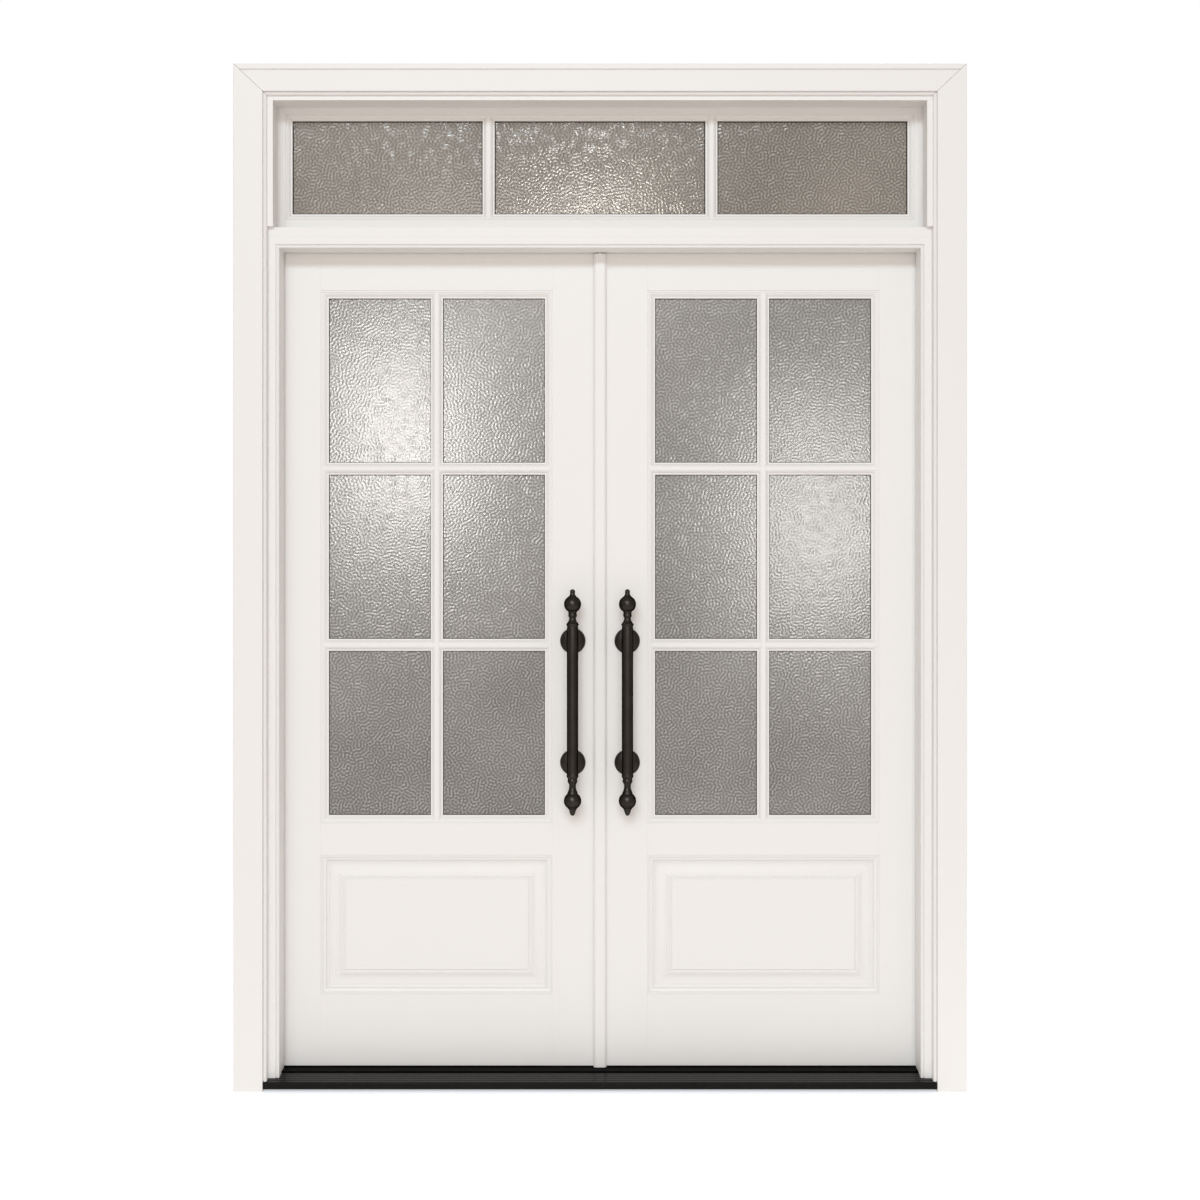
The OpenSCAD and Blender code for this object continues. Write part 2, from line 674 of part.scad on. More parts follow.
module pull_bolts() {
    cap_r = 9;
    back = through_in + leaf_t;
    color(black) for (z = post_zs) translate([-pull_x, leaf_y - through_in, z])
        rotate([-90, 0, 0]) rotate_extrude()
            polygon([[0, 0], [through_r, 0], [through_r, back], [cap_r, back],
                     [cap_r, back + 2.5], [cap_r - 2.5, back + 5], [0, back + 6]]);
}
module sweep_strip() {
    color(rubber) box(leaf_x0 + 1, leaf_x1 - 1, leaf_y + 8, leaf_y + leaf_t - 8, cap_top + 0.3,
        leaf_z0);
}

module left_hinge_stile() { hinge_stile(); }
module left_meeting_stile() { color(paint) meeting_stile(); }
module left_top_rail() { top_rail(); }
module left_lock_rail() { lock_rail(); }
module left_bottom_rail() { bottom_rail(); }
module left_panel() { panel(); }
module left_upright_bar() { upright_bar(); }
module left_cross_bars() { cross_bars(); }
module left_panes() { panes(); }
module left_beads() { leaf_beads(); }
module left_pull() { pull(); }
module left_pull_posts() { pull_posts(); }
module left_pull_bolts() { pull_bolts(); }
module left_sweep() { sweep_strip(); }

module right_hinge_stile() { mirror([1, 0, 0]) hinge_stile(); }
module right_top_rail() { mirror([1, 0, 0]) top_rail(); }
module right_lock_rail() { mirror([1, 0, 0]) lock_rail(); }
module right_bottom_rail() { mirror([1, 0, 0]) bottom_rail(); }
module right_panel() { mirror([1, 0, 0]) panel(); }
module right_upright_bar() { mirror([1, 0, 0]) upright_bar(); }
module right_cross_bars() { mirror([1, 0, 0]) cross_bars(); }
module right_panes() { mirror([1, 0, 0]) panes(); }
module right_beads() { mirror([1, 0, 0]) leaf_beads(); }
module right_pull() { mirror([1, 0, 0]) pull(); }
module right_pull_posts() { mirror([1, 0, 0]) pull_posts(); }
module right_pull_bolts() { mirror([1, 0, 0]) pull_bolts(); }

// --- Astragal and flush bolts, on the right leaf -----------------------------------------

astragal_w = 32;
astragal_t = 12;
astragal_top = stop_top - 3.5;
astragal_z0 = cap_top + 1;
lap_gap = 1.5;
seal_w = 5;
module astragal() {
    h = astragal_w / 2;
    chamfer = 5;
    y0 = leaf_y - astragal_t;
    color(paint) translate([0, 0, astragal_z0]) linear_extrude(astragal_top - astragal_z0)
        polygon([[h, leaf_y], [leaf_gap / 2, leaf_y], [leaf_gap / 2, leaf_y - lap_gap],
                 [-h, leaf_y - lap_gap], [-h, y0 + chamfer], [-h + chamfer, y0],
                 [h - chamfer, y0], [h, y0 + chamfer]]);
}
module astragal_seal() {
    color(rubber) box(-astragal_w / 2 + 2, -astragal_w / 2 + 2 + seal_w, leaf_y - lap_gap,
        leaf_y - 0.3, astragal_z0, astragal_top);
}

// Edge plate, pocket and rod; the lower bolt is the upper one turned over
plate_h = 150;
plate_w = 20;
edge_t = 2.5;
plate_mid = 1900;
slot_w = 7;
slot_h = 34;
module turned_over() { translate([0, 0, leaf_z0 + leaf_z1]) mirror([0, 0, 1]) children(); }
module bolt_pocket() {
    x = leaf_gap / 2;
    box(x - 1, x + edge_t, bolt_y - plate_w / 2, bolt_y + plate_w / 2,
        plate_mid - plate_h / 2, plate_mid + plate_h / 2);
    box(x, bolt_x + 7, bolt_y - 7, bolt_y + 7, plate_mid - 55, plate_mid + 55);
    translate([bolt_x, bolt_y, plate_mid]) cylinder(r = bolt_r + 0.4, h = 400);
}
module bolt_plate() {
    x = leaf_gap / 2;
    difference() {
        box(x, x + edge_t, bolt_y - plate_w / 2, bolt_y + plate_w / 2,
            plate_mid - plate_h / 2, plate_mid + plate_h / 2);
        box(x - 1, x + edge_t + 1, bolt_y - slot_w / 2, bolt_y + slot_w / 2,
            plate_mid - slot_h / 2, plate_mid + slot_h / 2);
        for (s = [-1, 1]) translate([x - 1, bolt_y, plate_mid + s * (plate_h / 2 - 12)])
            rotate([0, 90, 0]) cylinder(r = 2.2, h = edge_t + 2);
    }
}
module bolt_rod() {
    tip = leaf_z1 - 1;
    thumb = plate_mid - slot_h / 2 + 1;
    translate([bolt_x, bolt_y, plate_mid - 40]) cylinder(r = bolt_r, h = tip - plate_mid + 40);
    box(leaf_gap / 2 + 0.6, bolt_x, bolt_y - slot_w / 2 + 0.4, bolt_y + slot_w / 2 - 0.4,
        thumb, thumb + slot_h - bolt_throw - 2);
}
module right_meeting_stile() {
    color(paint) difference() {
        mirror([1, 0, 0]) meeting_stile();
        bolt_pocket();
        turned_over() bolt_pocket();
    }
}
module right_sweep() {
    color(rubber) difference() {
        mirror([1, 0, 0]) sweep_strip();
        translate([bolt_x, bolt_y, cap_top - 1]) cylinder(r = bolt_r + 0.8, h = 10);
    }
}
module flush_bolt_plates() {
    color(steel) {
        bolt_plate();
        turned_over() bolt_plate();
    }
}
module flush_bolt_top() { color(steel) bolt_rod(); }
module flush_bolt_bottom() { color(steel) turned_over() bolt_rod(); }

casing_left();
casing_right();
casing_head();
jamb_left();
jamb_right();
jamb_head();
transom_bar();
door_stop_left();
door_stop_right();
door_stop_head();
weatherstrips();
sill_deck();
sill_core();
threshold_cap();
transom_stile_left();
transom_stile_right();
transom_rail_top();
transom_rail_bottom();
transom_bars();
transom_panes();
transom_beads();
left_jamb_hinges();
right_jamb_hinges();
left_hinge_pins();
right_hinge_pins();
left_hinge_stile();
left_meeting_stile();
left_top_rail();
left_lock_rail();
left_bottom_rail();
left_panel();
left_upright_bar();
left_cross_bars();
left_panes();
left_beads();
left_door_hinges();
left_pull();
left_pull_posts();
left_pull_bolts();
left_sweep();
right_hinge_stile();
right_meeting_stile();
right_top_rail();
right_lock_rail();
right_bottom_rail();
right_panel();
right_upright_bar();
right_cross_bars();
right_panes();
right_beads();
right_door_hinges();
right_pull();
right_pull_posts();
right_pull_bolts();
right_sweep();
astragal();
astragal_seal();
flush_bolt_plates();
flush_bolt_top();
flush_bolt_bottom();
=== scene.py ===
# %% [markdown]
# # French doors under a transom, in their frame
# This lesson dresses a finished construction model. The doors, the frame and every hinge and bolt
# already exist as solids in metres, with +X to the right, +Y inward through the wall and +Z up.
# Nothing here is moved or resized: each solid is either given a finish or stood in for by a
# better surface in the same place.
#
# # Loading the frame
# The box of the whole object is kept now; its lowest point sets the height of the floor.

# %% Load the frame
import json
import math

import bmesh
import bpy
import numpy as np
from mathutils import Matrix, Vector


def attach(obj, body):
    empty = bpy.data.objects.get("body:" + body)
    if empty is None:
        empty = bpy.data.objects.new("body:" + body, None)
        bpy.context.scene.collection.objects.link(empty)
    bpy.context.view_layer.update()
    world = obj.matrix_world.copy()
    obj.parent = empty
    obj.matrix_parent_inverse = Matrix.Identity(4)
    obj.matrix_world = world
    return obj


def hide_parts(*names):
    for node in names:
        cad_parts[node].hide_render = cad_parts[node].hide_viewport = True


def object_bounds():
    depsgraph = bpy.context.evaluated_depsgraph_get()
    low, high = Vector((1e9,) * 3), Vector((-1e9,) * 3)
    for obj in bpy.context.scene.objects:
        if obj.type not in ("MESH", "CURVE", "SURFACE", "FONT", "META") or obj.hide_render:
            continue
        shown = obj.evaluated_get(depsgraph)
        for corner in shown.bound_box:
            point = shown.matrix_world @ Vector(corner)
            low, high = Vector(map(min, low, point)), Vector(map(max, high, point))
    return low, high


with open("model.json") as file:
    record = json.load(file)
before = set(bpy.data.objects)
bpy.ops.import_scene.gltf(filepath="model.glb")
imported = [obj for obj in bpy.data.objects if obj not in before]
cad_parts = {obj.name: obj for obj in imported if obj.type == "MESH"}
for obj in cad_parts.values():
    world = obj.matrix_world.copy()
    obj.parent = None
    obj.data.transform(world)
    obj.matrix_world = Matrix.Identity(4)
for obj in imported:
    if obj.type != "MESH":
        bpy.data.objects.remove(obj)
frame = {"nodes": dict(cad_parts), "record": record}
SOLIDS = frame["nodes"]
BODY_OF = {n: body for body, nodes in frame["record"]["behaviour"]["bodies"].items() for n in nodes}
SLOT_OF = {part["node"]: part["material_slot"] for part in frame["record"]["subparts"]}
cad_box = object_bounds()
print(f"{len(SOLIDS)} solids, box {[round(v, 3) for v in (*cad_box[0], *cad_box[1])]}")

# %% [markdown]
# # Sums on sockets
# A finish is a small sum: so much of this noise, less that one. Blender writes each step of it as
# a node. Wrapping a socket in a class with the usual operators lets the sum be written as a sum,
# and every operator adds its own Math node. All other nodes come from one method, `node`.

# %% A socket that can be added and multiplied
class Wire:
    """A socket of a finish. Sums, products and powers of wires and numbers add Math nodes."""

    def __init__(self, finish, socket):
        self.finish, self.socket = finish, socket

    def _math(self, operation, first, second):
        return self.finish.node("ShaderNodeMath", {"operation": operation}, {0: first, 1: second})

    def __add__(self, other):
        return self._math("ADD", self, other)

    def __sub__(self, other):
        return self._math("SUBTRACT", self, other)

    def __rsub__(self, other):
        return self._math("SUBTRACT", other, self)

    def __mul__(self, other):
        return self._math("MULTIPLY", self, other)

    def __pow__(self, other):
        return self._math("POWER", self, other)

    __radd__, __rmul__ = __add__, __mul__

    def clipped(self):
        """The same value kept between 0 and 1."""
        return self.finish.node("ShaderNodeClamp", {}, {"Value": self})


class Finish:
    """A material that is built up from nodes."""

    def __init__(self, name):
        self.material = bpy.data.materials.new(name)
        self.material.use_nodes = True
        self.tree = self.material.node_tree
        self.tree.nodes.clear()
        self.place = self.node("ShaderNodeTexCoord", out="Object")

    def node(self, kind, settings=None, inputs=None, out=0):
        """One node: its type, then its settings, then the values or wires of its sockets."""
        made = self.tree.nodes.new(kind)
        for key, value in (settings or {}).items():
            setattr(made, key, value)
        for key, value in (inputs or {}).items():
            if isinstance(value, Wire):
                self.tree.links.new(value.socket, made.inputs[key])
            else:
                made.inputs[key].default_value = value
        return Wire(self, made.outputs[out])

    def stretched(self, x, y, z):
        """The place in the object with each axis scaled, so that a pattern runs long one way."""
        return self.node("ShaderNodeMapping", {}, {"Vector": self.place, "Scale": (x, y, z)})

    def noise(self, scale, detail=2.0, rough=0.5, at=None):
        """Cloudy noise from 0 to 1 whose blotches are about 1 / scale metres across."""
        return self.node("ShaderNodeTexNoise", {}, {
            "Vector": at or self.place, "Scale": scale, "Detail": detail, "Roughness": rough})

    def blend(self, first, second, amount):
        """A colour between two colours."""
        sides = {6: first if isinstance(first, Wire) else (*first, 1),
                 7: second if isinstance(second, Wire) else (*second, 1)}
        return self.node("ShaderNodeMix", {"data_type": "RGBA"}, {0: amount, **sides}, out=2)

    def bump(self, height, distance, strength=1.0):
        """Height in units of distance, turned into a tilt of the surface."""
        return self.node("ShaderNodeBump", {}, {
            "Height": height, "Distance": distance, "Strength": strength})

    def shade(self, **sockets):
        """Ends the finish in a Principled shader. Underscores in names stand for spaces."""
        inputs = {key.replace("_", " "): value for key, value in sockets.items()}
        shader = self.node("ShaderNodeBsdfPrincipled", {}, inputs)
        output = self.tree.nodes.new("ShaderNodeOutputMaterial")
        self.tree.links.new(shader.socket, output.inputs["Surface"])
        return self.material


print("finishes are sums of wires")

# %% [markdown]
# # Painted wood
# The joinery is sprayed and rolled in a warm white satin enamel. Seen close, the film follows the
# grain a little, with long faint ridges along each board, and has a fine orange peel across it.
# The ridges have to run along each board, so the same recipe is mixed twice, once for level
# boards and once for upright ones.

# %% Paint
WARM_WHITE = (0.843, 0.829, 0.820)
SOFT_WHITE = (0.821, 0.807, 0.797)
ALONG = 12.0  # ridges of grain are this many times a metre's length long, and far finer across
ACROSS = 420.0


def paint(name, axis):
    """Enamel on a board whose grain runs along axis 0, 1 or 2."""
    finish = Finish(name)
    scale = [ACROSS] * 3
    scale[axis] = ALONG
    grain = finish.noise(1.0, detail=3.0, rough=0.6, at=finish.stretched(*scale))
    peel = finish.noise(900.0, detail=1.0)
    cloud = finish.noise(1.7, detail=2.0)
    tone = (cloud * 0.75 + grain * 0.25).clipped()
    return finish.shade(
        Base_Color=finish.blend(SOFT_WHITE, WARM_WHITE, tone),
        Roughness=0.34 + 0.12 * grain + 0.06 * peel,
        Specular_IOR_Level=0.42,
        Normal=finish.bump(grain * 0.6 + peel * 0.4, 0.00012, 0.35))


LEVEL_PAINT, UPRIGHT_PAINT = paint("paint_across", 0), paint("paint_up", 2)
print("two paints, one for each direction of grain")

# %% [markdown]
# # Metal, rubber and composite
# The pulls are satin black over a casting, the sill is a dark bronze extrusion with fine lines
# along it, and the hinges are plain steel with the marks of a brushing belt.

# %% Other finishes
def satin_black():
    """Oil rubbed bronze, nearly black: soft pits and a brown cast."""
    finish = Finish("satin_black")
    pits = finish.noise(420.0, detail=3.0, rough=0.6)
    cloud = finish.noise(38.0, detail=2.0)
    return finish.shade(
        Base_Color=finish.blend((0.033, 0.031, 0.0295), (0.056, 0.050, 0.046), cloud),
        Metallic=1.0,
        Roughness=0.30 + 0.10 * pits,
        Specular_Tint=(0.16, 0.15, 0.14, 1),
        Normal=finish.bump(pits, 0.0002, 0.3))


def dark_bronze():
    """Extruded metal with a dark film: long lines from the die and blotches of dust."""
    finish = Finish("dark_bronze")
    lines = finish.noise(1.0, detail=3.0, at=finish.stretched(3.0, 900.0, 900.0))
    dust = finish.noise(22.0, detail=4.0, rough=0.65)
    return finish.shade(
        Base_Color=finish.blend((0.002, 0.002, 0.002), (0.009, 0.008, 0.0075), dust * lines),
        Roughness=0.07 + 0.10 * dust,
        Specular_IOR_Level=0.16,
        Normal=finish.bump(lines, 0.00012, 0.12))


def cap_black_painted_shade():
    """The same extrusion under the leaves, nearly black and with nearly no gloss: partly its own
    dark film, partly painted shade for the shadow that the leaves cast on it.
    """
    finish = Finish("cap_black_painted_shade")
    scuffs = finish.noise(1.0, detail=4.0, at=finish.stretched(30.0, 240.0, 240.0))
    # Darker than the deck: painted shade from the leaves above.
    return finish.shade(
        Base_Color=finish.blend((0.0008, 0.0008, 0.0008), (0.0030, 0.0029, 0.0028), scuffs),
        Roughness=0.62 + 0.2 * scuffs,
        Specular_IOR_Level=0.05,
        Normal=finish.bump(scuffs, 0.00015, 0.3))


def glazing_black_painted_shadow():
    """Black setting compound round the glass, its colour also a painted shadow: the dark line
    stands for the shade that the moulded edge casts on the sheet.
    """
    finish = Finish("glazing_black_painted_shadow")
    smear = finish.noise(80.0, detail=3.0)
    return finish.shade(
        Base_Color=finish.blend((0.010, 0.009, 0.008), (0.026, 0.022, 0.019), smear),
        Roughness=0.55 + 0.2 * smear,
        Specular_IOR_Level=0.25)


def rubber():
    """Extruded seal, matt, a little grey with bloom."""
    finish = Finish("seal_rubber")
    bloom = finish.noise(60.0, detail=3.0)
    return finish.shade(
        Base_Color=finish.blend((0.045, 0.044, 0.043), (0.085, 0.083, 0.080), bloom),
        Roughness=0.72 + 0.14 * bloom,
        Normal=finish.bump(finish.noise(1400.0), 0.0001, 0.3))


def hinge_steel():
    """Steel brushed up and down, with a slight change of tone from plate to plate."""
    finish = Finish("hinge_steel")
    brushed = finish.noise(1.0, detail=3.0, at=finish.stretched(2400.0, 2400.0, 40.0))
    return finish.shade(
        Base_Color=finish.blend((0.50, 0.49, 0.47), (0.64, 0.63, 0.61), finish.noise(9.0)),
        Roughness=0.26 + 0.16 * brushed,
        Metallic=1.0,
        Normal=finish.bump(brushed, 0.00008, 0.3))


def sill_composite():
    """Filled resin board, greyish brown, speckled with filler."""
    finish = Finish("sill_composite")
    filler = finish.noise(260.0, detail=4.0, rough=0.7)
    return finish.shade(
        Base_Color=finish.blend((0.20, 0.18, 0.15), (0.30, 0.27, 0.23), filler),
        Roughness=0.6 + 0.2 * filler,
        Normal=finish.bump(filler, 0.0003, 0.4))


FINISHES = {"black_metal": satin_black(), "dark_bronze": dark_bronze(), "seal": rubber(),
            "hinge_steel": hinge_steel(), "sill_core": sill_composite()}
CAP_BLACK_PAINTED_SHADE, GLAZING_BLACK_PAINTED_SHADOW = cap_black_painted_shade(), glazing_black_painted_shadow()
print("finishes:", ", ".join(sorted(FINISHES)))

# %% [markdown]
# # Obscure glass
# The panes are rolled with a wormy relief on the outer side, so that light gets in and a view
# doesn't. Most of what the eye sees is the grey body of the sheet, with a glint on each ridge.
# The relief is real geometry here, and each pane carries its height as an attribute, so that the
# colour can be painted darker in the hollows and lighter on the ridges' tops: painted shade and
# painted highlight of the relief, on top of the shading that the lamps give the geometry.

# %% Glass
def obscure_glass(name, valley_shade, crest_highlight, dull):
    """Grey, half clear glass whose colour follows the relief: painted shade in the hollows between
    ridges and a painted highlight on their tops. Dull is its least roughness."""
    finish = Finish(name)
    relief = finish.node("ShaderNodeAttribute", {"attribute_name": "relief"}, out="Fac")
    cloud = finish.noise(4.0, detail=3.0)
    fine = finish.noise(300.0, detail=2.0)
    # The tone paints the relief's shading into the colour: painted shade low in the relief and a
    # painted highlight high up, plus a random cloud.
    tone = (0.74 * relief ** 2.0 + 0.35 * (cloud - 0.5) + 0.1).clipped()
    return finish.shade(
        Base_Color=finish.blend(valley_shade, crest_highlight, tone),
        Roughness=dull + 0.08 * fine,
        IOR=1.8,
        Specular_IOR_Level=0.8,
        Transmission_Weight=0.35,
        Normal=finish.bump(fine, 0.0003, 0.2))


GLASS = obscure_glass("obscure_glass", (0.125, 0.122, 0.114), (0.67, 0.665, 0.645), 0.155)
# The transom's copy is browner and warmer: a painted warm reflection and painted shade from under
# the head.
TRANSOM_GLASS_PAINTED_WARM = obscure_glass("obscure_glass_warm_painted_shade", (0.135, 0.122, 0.105), (0.68, 0.625, 0.56),
                              0.075)
print("glass reads the height of its relief")

# %% [markdown]
# # Softened boards
# A solid from the construction model has knife edges, and real boards never do: sanding and
# paint round every arris, and that thin round is what catches the light along a moulding. Each
# painted board is therefore copied, its loose triangles are merged into whole faces, and a Bevel
# modifier rounds what is left. The curved faces of the mouldings stay smooth, because only
# edges sharper than a set angle are rounded.

# %% Boards with rounded arrises
UPRIGHT = ("casing_left", "casing_right", "jamb_left", "jamb_right", "door_stop_left",
           "door_stop_right", "transom_stile_left", "transom_stile_right", "transom_bars",
           "left_hinge_stile", "left_meeting_stile", "left_upright_bar",
           "right_hinge_stile", "right_meeting_stile", "right_upright_bar", "astragal")
CASING_ARRIS = 0.0013
BOARD_ARRIS = 0.0004


def merged(node, name):
    """A copy of a solid with its triangles joined into whole faces."""
    mesh = SOLIDS[node].data.copy()
    mesh.name = name
    shape = bmesh.new()
    shape.from_mesh(mesh)
    bmesh.ops.remove_doubles(shape, verts=shape.verts, dist=2e-6)
    bmesh.ops.dissolve_limit(shape, angle_limit=math.radians(0.4), verts=shape.verts,
                             edges=shape.edges)
    shape.to_mesh(mesh)
    shape.free()
    mesh.materials.clear()
    piece = bpy.data.objects.new(name, mesh)
    bpy.context.scene.collection.objects.link(piece)
    return piece


def soften(piece, width):
    """Rounds every arris of the piece that turns by more than 28 degrees."""
    piece.data.shade_smooth()
    bevel = piece.modifiers.new("arris", "BEVEL")
    bevel.width, bevel.segments = width, 2
    bevel.limit_method, bevel.angle_limit = "ANGLE", math.radians(28)
    flats = piece.modifiers.new("flats", "WEIGHTED_NORMAL")
    flats.mode, flats.weight, flats.keep_sharp = "FACE_AREA", 100, False
    return piece


def stand_in(piece, node, material):
    """The piece takes the finish and the place of a solid."""
    piece.data.materials.append(material)
    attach(piece, BODY_OF[node])
    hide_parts(node)
    return piece


painted = [n for n, slot in SLOT_OF.items() if slot == "paint"]
for node in painted:
    enamel = UPRIGHT_PAINT if node in UPRIGHT else LEVEL_PAINT
    arris = CASING_ARRIS if node.startswith("casing") else BOARD_ARRIS
    stand_in(soften(merged(node, node + "_painted"), arris), node, enamel)
print(f"{len(painted)} painted boards")

# %% [markdown]
# # Grids
# Every new surface here is a function of two parameters, worked out for a whole grid of points
# at once. One helper turns such a grid into a mesh.

# %% A grid of points as a mesh
def sheet_faces(rows, columns, wrap=False):
    """Corner numbers of the faces of a grid of points, rows by columns. Wrap joins the last
    column to the first."""
    r, c = np.meshgrid(np.arange(rows - 1), np.arange(columns if wrap else columns - 1),
                       indexing="ij")
    after = (c + 1) % columns
    corners = [r * columns + c, r * columns + after, (r + 1) * columns + after,
               (r + 1) * columns + c]
    return np.stack([k.ravel() for k in corners], axis=1)


def add_mesh(name, points, quads, extra=()):
    """A mesh from an array of points, an array of four-cornered faces and a few other faces."""
    mesh = bpy.data.meshes.new(name)
    mesh.from_pydata(points, [], quads.tolist() + [list(face) for face in extra])
    mesh.validate()
    mesh.shade_smooth()
    piece = bpy.data.objects.new(name, mesh)
    bpy.context.scene.collection.objects.link(piece)
    return piece


# %% [markdown]
# # The relief of the glass
# The ridges wander, split, join and curl round each other, but stay one pitch apart. White noise
# holds waves of every length. Keeping only those near the pitch leaves blobs, and pressing the
# blobs flat and filtering again, a few times over, makes each one join its neighbours into long
# parallel ridges, just as they form on a cooling roller. A second, much broader noise makes the
# relief deeper here and shallower there.

# %% Panes
PITCH = 0.0082   # from ridge to ridge
SPREAD = 0.34    # how far the ridges stray from the pitch
DEPTH = 0.00015  # half the height of a ridge
STEP = 0.0023    # between the points of the grid
ROUNDS = 3       # times that the ridges are pressed flat and filtered again
PRESS = 1.3      # how hard they are pressed
PATCH = 5        # pitches across one broad patch of deeper or shallower relief
FADE = 0.24      # how much the relief changes from patch to patch


def ring_of_waves(shape, steps, pitch, spread):
    """How much of each wave to keep: a bell curve round the waves one pitch long."""
    f = np.hypot(*np.meshgrid(*(np.fft.fftfreq(n, s) for n, s in zip(shape, steps)),
                              indexing="ij"))
    return np.exp(-((f * pitch - 1) / spread) ** 2)


def filtered(field, keep):
    """The field with only the kept waves, scaled to unit height."""
    field = np.fft.ifft2(np.fft.fft2(field) * keep).real
    return field / field.std()


def relief_of(shape, steps, rng):
    """Ridges one pitch apart, from -1 to 1, fainter where a broad second noise is low."""
    keep = ring_of_waves(shape, steps, PITCH, SPREAD)
    ridges = rng.standard_normal(shape)
    for _ in range(ROUNDS):
        ridges = np.tanh(PRESS * filtered(ridges, keep))
    patches = ring_of_waves(shape, steps, PATCH * PITCH, 0.8)
    broad = filtered(rng.standard_normal(shape), patches)
    return ridges * (1 - FADE + FADE * np.tanh(broad))


def pane(name, x, z, y, rng):
    """A sheet of glass with relief on its front: x, z and y are its lowest and highest values.
    A point of the front is (x, y0 + depth * (1 - relief), z), so that no ridge stands past the
    solid that the sheet stands in for. The back is flat."""
    counts = [int(round((hi - lo) / STEP)) + 1 for lo, hi in (z, x)]
    zs, xs = np.linspace(*z, counts[0]), np.linspace(*x, counts[1])
    grid_z, grid_x = np.meshgrid(zs, xs, indexing="ij")
    relief = relief_of(counts, [zs[1] - zs[0], xs[1] - xs[0]], rng)
    front = np.stack([grid_x, y[0] + DEPTH * (1 - relief), grid_z], axis=-1).reshape(-1, 3)
    rows, columns = counts
    numbers = np.arange(rows * columns).reshape(rows, columns)
    rim = np.concatenate([numbers[0], numbers[1:, -1], numbers[-1, -2::-1], numbers[-2:0:-1, 0]])
    back = front[rim] * (1, 0, 1) + (0, y[1], 0)
    first = len(front)
    behind = first + np.arange(len(rim))
    walls = np.stack([rim, behind, np.roll(behind, -1), np.roll(rim, -1)], axis=1)
    piece = add_mesh(name, np.vstack([front, back]),
                     np.vstack([sheet_faces(rows, columns), walls]), [behind[::-1]])
    rounded = np.arange(len(piece.data.polygons)) < (rows - 1) * (columns - 1)
    piece.data.polygons.foreach_set("use_smooth", rounded)
    # The finish reads this height to paint shade low in the relief and a highlight high up.
    height = np.concatenate([relief.ravel() * 0.5 + 0.5, np.full(len(rim), 0.5)])
    piece.data.attributes.new("relief", "FLOAT", "POINT").data.foreach_set("value", height)
    return piece


def islands(node):
    """The boxes of the separate solids in a node, as [lowest corner, highest corner]."""
    shape = bmesh.new()
    shape.from_mesh(SOLIDS[node].data)
    bmesh.ops.remove_doubles(shape, verts=shape.verts, dist=1e-6)
    left, boxes = set(shape.verts), []
    while left:
        group, queue = set(), [next(iter(left))]
        while queue:
            vert = queue.pop()
            if vert not in group:
                group.add(vert)
                queue += [edge.other_vert(vert) for edge in vert.link_edges]
        left -= group
        corners = np.array([vert.co for vert in group])
        boxes.append((corners.min(0), corners.max(0)))
    shape.free()
    return sorted(boxes, key=lambda box: (round(box[0][2], 3), round(box[0][0], 3)))


rng = np.random.default_rng(7)
for node in ("transom_panes", "left_panes", "right_panes"):
    for number, (low, high) in enumerate(islands(node)):
        piece = pane(f"{node}_{number + 1}", (low[0], high[0]), (low[2], high[2]),
                     (low[1], high[1]), rng)
        stand_in(piece, node, TRANSOM_GLASS_PAINTED_WARM if node == "transom_panes" else GLASS)
    print(f"{node}: {number + 1} sheets")

# %% [markdown]
# # The glazing seals
# Each sheet is bedded against the moulded edge on a thin dark seal, and a line of it shows all
# round the glass. The line is also a painted shadow: it stands for the shade that the moulded edge
# casts on the sheet, and is wider round the transom's panes than round the leaves'. It is a half
# round carried round a rectangle with mitred corners: at each corner the section is simply the
# same, set on the diagonal.

# %% Gaskets round the panes, dark as a painted shadow
LIP = 0.008        # how far the sheet goes in behind the moulded edge
GASKET_H = 0.0011  # how far the gasket stands proud of the glass
SUNK = 0.0001      # how far its edges lie inside the sheet


def closed_section(quads, rows, columns):
    """The same faces with one more row, which joins the last row of points to the first."""
    last, c = (rows - 1) * columns, np.arange(columns)
    after = (c + 1) % columns
    return np.vstack([quads, np.stack([last + c, last + after, after, c], axis=1)])


def rectangle_sweep(name, x, z, inset, y):
    """A section carried round a rectangle. Its points lie inset from the rectangle's sides, at
    depth y: (x0 + inset, y, z0 + inset) at the first corner, and so on round the four."""
    inset, y = np.asarray(inset), np.asarray(y)
    corners = [(x[0] + inset, z[0] + inset), (x[1] - inset, z[0] + inset),
               (x[1] - inset, z[1] - inset), (x[0] + inset, z[1] - inset)]
    points = np.stack([np.stack([cx, y, cz], axis=-1) for cx, cz in corners], axis=1)
    rows = len(inset)
    quads = closed_section(sheet_faces(rows, 4, wrap=True), rows, 4)
    return add_mesh(name, points.reshape(-1, 3), quads)


def gasket_painted_shadow(name, low, high, width):
    """A half round seal on the front of the sheet between the corners low and high, dark so that it
    also paints the shadow of the moulded edge on the glass.
    """
    turn = np.linspace(0, math.pi, 9)
    inset = LIP - 0.0004 + width * (1 - np.cos(turn)) / 2
    y = low[1] + SUNK - GASKET_H * np.sin(turn)
    return rectangle_sweep(name, (low[0], high[0]), (low[2], high[2]), inset, y)


GASKET_SHADOW_WIDTHS = {"transom_panes": 0.0028, "left_panes": 0.0019, "right_panes": 0.0019}
# Each width is that of the painted shadow line along that kind of pane.
for node, width in GASKET_SHADOW_WIDTHS.items():
    for number, (low, high) in enumerate(islands(node)):
        piece = gasket_painted_shadow(f"{node}_gasket_{number + 1}", low, high, width)
        piece.data.materials.append(GLAZING_BLACK_PAINTED_SHADOW)
        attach(piece, BODY_OF[node])
    print(f"{node}: {number + 1} gaskets")

